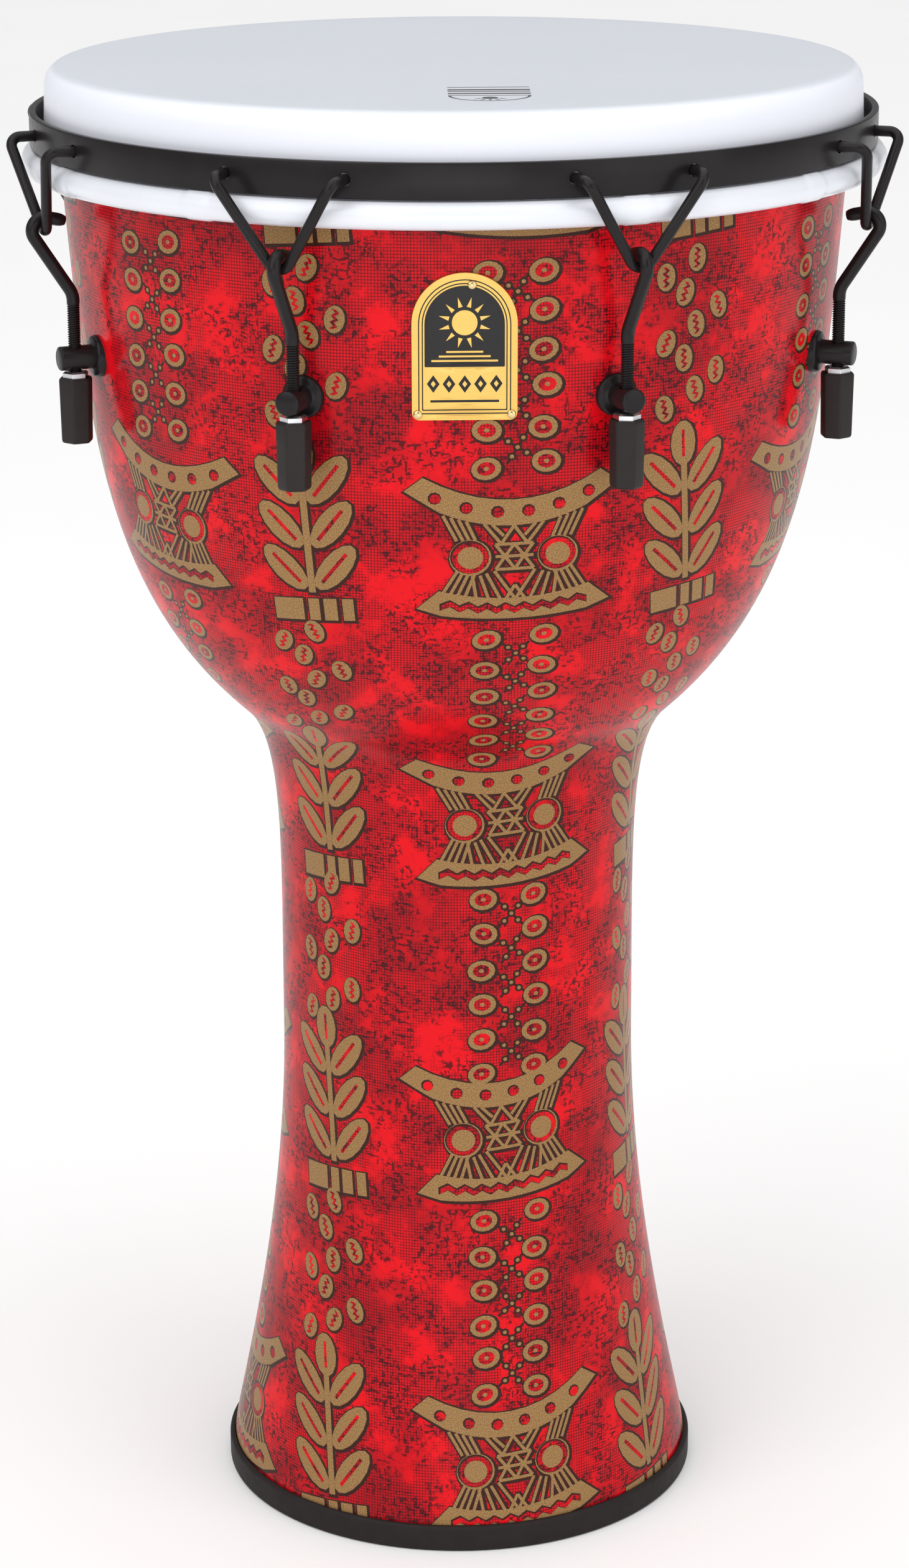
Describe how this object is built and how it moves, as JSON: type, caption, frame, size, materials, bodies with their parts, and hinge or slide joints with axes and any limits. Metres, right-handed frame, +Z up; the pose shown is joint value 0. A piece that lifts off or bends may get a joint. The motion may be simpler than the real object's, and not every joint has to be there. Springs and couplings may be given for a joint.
{
  "type": "djembe",
  "caption": "Goblet hand drum: printed synthetic shell, white film head, black rim hoop pulled down by V claws, hooked threaded rods and sleeve nuts.",
  "frame": {"origin": "centre of the foot ring's underside, on the drum's axis", "axes": "+Z up along the drum's axis, -Y to the front where the badge is, +X to the right seen from the front"},
  "size_m": [0.384, 0.384, 0.6678],
  "materials": {
    "printed_shell": "gloss, printed cloth under clear resin, red with gold motifs",
    "foot_rubber": "matt moulded",
    "head_film": "satin, faintly coated",
    "hoop_wrap": "satin tape",
    "black_enamel": "semi-gloss black",
    "black_plastic": "satin black",
    "bright_steel": "plated, machined",
    "gold_plate": "lacquered and screen printed in black",
    "pin_brass": "polished"
  },
  "bodies": {
    "drum": {"shell": "printed_shell", "foot_ring": "foot_rubber", "lug_post_1": "black_enamel", "lug_post_2": "black_enamel", "lug_post_3": "black_enamel", "lug_post_4": "black_enamel", "lug_post_5": "black_enamel", "lug_post_6": "black_enamel", "lug_post_7": "black_enamel", "lug_post_8": "black_enamel", "lug_screw_1": "bright_steel", "lug_screw_2": "bright_steel", "lug_screw_3": "bright_steel", "lug_screw_4": "bright_steel", "lug_screw_5": "bright_steel", "lug_screw_6": "bright_steel", "lug_screw_7": "bright_steel", "lug_screw_8": "bright_steel", "badge": "gold_plate", "badge_pin_top": "pin_brass", "badge_pin_left": "pin_brass", "badge_pin_right": "pin_brass"},
    "head": {"drumhead_film": "head_film", "flesh_hoop_core": "bright_steel", "flesh_hoop_wrap": "hoop_wrap", "rim_hoop": "black_enamel", "tension_rod_1": "black_enamel", "tension_rod_2": "black_enamel", "tension_rod_3": "black_enamel", "tension_rod_4": "black_enamel", "tension_rod_5": "black_enamel", "tension_rod_6": "black_enamel", "tension_rod_7": "black_enamel", "tension_rod_8": "black_enamel"},
    "nut_1": {"nut_sleeve_1": "black_plastic", "hex_nut_1": "bright_steel"},
    "claw_1": {"claw_1": "black_enamel"},
    "nut_2": {"nut_sleeve_2": "black_plastic", "hex_nut_2": "bright_steel"},
    "claw_2": {"claw_2": "black_enamel"},
    "nut_3": {"nut_sleeve_3": "black_plastic", "hex_nut_3": "bright_steel"},
    "claw_3": {"claw_3": "black_enamel"},
    "nut_4": {"nut_sleeve_4": "black_plastic", "hex_nut_4": "bright_steel"},
    "claw_4": {"claw_4": "black_enamel"},
    "nut_5": {"nut_sleeve_5": "black_plastic", "hex_nut_5": "bright_steel"},
    "claw_5": {"claw_5": "black_enamel"},
    "nut_6": {"nut_sleeve_6": "black_plastic", "hex_nut_6": "bright_steel"},
    "claw_6": {"claw_6": "black_enamel"},
    "nut_7": {"nut_sleeve_7": "black_plastic", "hex_nut_7": "bright_steel"},
    "claw_7": {"claw_7": "black_enamel"},
    "nut_8": {"nut_sleeve_8": "black_plastic", "hex_nut_8": "bright_steel"},
    "claw_8": {"claw_8": "black_enamel"}
  },
  "joints": [
    {"name": "nut_turn_1", "type": "hinge", "parent": "drum", "child": "nut_1", "pos_m": [0.06804, -0.16427, 0.53], "axis": [0, 0, -1], "range_deg": [0, 2880]},
    {"name": "nut_turn_2", "type": "hinge", "parent": "drum", "child": "nut_2", "pos_m": [0.16427, -0.06804, 0.53], "axis": [0, 0, -1], "range_deg": [0, 2880]},
    {"name": "nut_turn_3", "type": "hinge", "parent": "drum", "child": "nut_3", "pos_m": [0.16427, 0.06804, 0.53], "axis": [0, 0, -1], "range_deg": [0, 2880]},
    {"name": "nut_turn_4", "type": "hinge", "parent": "drum", "child": "nut_4", "pos_m": [0.06804, 0.16427, 0.53], "axis": [0, 0, -1], "range_deg": [0, 2880]},
    {"name": "nut_turn_5", "type": "hinge", "parent": "drum", "child": "nut_5", "pos_m": [-0.06804, 0.16427, 0.53], "axis": [0, 0, -1], "range_deg": [0, 2880]},
    {"name": "nut_turn_6", "type": "hinge", "parent": "drum", "child": "nut_6", "pos_m": [-0.16427, 0.06804, 0.53], "axis": [0, 0, -1], "range_deg": [0, 2880]},
    {"name": "nut_turn_7", "type": "hinge", "parent": "drum", "child": "nut_7", "pos_m": [-0.16427, -0.06804, 0.53], "axis": [0, 0, -1], "range_deg": [0, 2880]},
    {"name": "nut_turn_8", "type": "hinge", "parent": "drum", "child": "nut_8", "pos_m": [-0.06804, -0.16427, 0.53], "axis": [0, 0, -1], "range_deg": [0, 2880]},
    {"name": "head_lift", "type": "slide", "parent": "drum", "child": "head", "axis": [0, 0, 1], "range_m": [0, 0.008]},
    {"name": "claw_swing_1", "type": "hinge", "parent": "head", "child": "claw_1", "pos_m": [0.06988, -0.1687, 0.6416], "axis": [0.9239, 0.3827, 0], "range_deg": [0, 4]},
    {"name": "claw_swing_2", "type": "hinge", "parent": "head", "child": "claw_2", "pos_m": [0.1687, -0.06988, 0.6416], "axis": [0.3827, 0.9239, 0], "range_deg": [0, 4]},
    {"name": "claw_swing_3", "type": "hinge", "parent": "head", "child": "claw_3", "pos_m": [0.1687, 0.06988, 0.6416], "axis": [-0.3827, 0.9239, 0], "range_deg": [0, 4]},
    {"name": "claw_swing_4", "type": "hinge", "parent": "head", "child": "claw_4", "pos_m": [0.06988, 0.1687, 0.6416], "axis": [-0.9239, 0.3827, 0], "range_deg": [0, 4]},
    {"name": "claw_swing_5", "type": "hinge", "parent": "head", "child": "claw_5", "pos_m": [-0.06988, 0.1687, 0.6416], "axis": [-0.9239, -0.3827, 0], "range_deg": [0, 4]},
    {"name": "claw_swing_6", "type": "hinge", "parent": "head", "child": "claw_6", "pos_m": [-0.1687, 0.06988, 0.6416], "axis": [-0.3827, -0.9239, 0], "range_deg": [0, 4]},
    {"name": "claw_swing_7", "type": "hinge", "parent": "head", "child": "claw_7", "pos_m": [-0.1687, -0.06988, 0.6416], "axis": [0.3827, -0.9239, 0], "range_deg": [0, 4]},
    {"name": "claw_swing_8", "type": "hinge", "parent": "head", "child": "claw_8", "pos_m": [-0.06988, -0.1687, 0.6416], "axis": [0.9239, -0.3827, 0], "range_deg": [0, 4]}
  ],
  "couplings": [
    {"joint": "nut_turn_1", "follows": "head_lift", "rad_per_m": 6283.2},
    {"joint": "nut_turn_2", "follows": "head_lift", "rad_per_m": 6283.2},
    {"joint": "nut_turn_3", "follows": "head_lift", "rad_per_m": 6283.2},
    {"joint": "nut_turn_4", "follows": "head_lift", "rad_per_m": 6283.2},
    {"joint": "nut_turn_5", "follows": "head_lift", "rad_per_m": 6283.2},
    {"joint": "nut_turn_6", "follows": "head_lift", "rad_per_m": 6283.2},
    {"joint": "nut_turn_7", "follows": "head_lift", "rad_per_m": 6283.2},
    {"joint": "nut_turn_8", "follows": "head_lift", "rad_per_m": 6283.2}
  ]
}
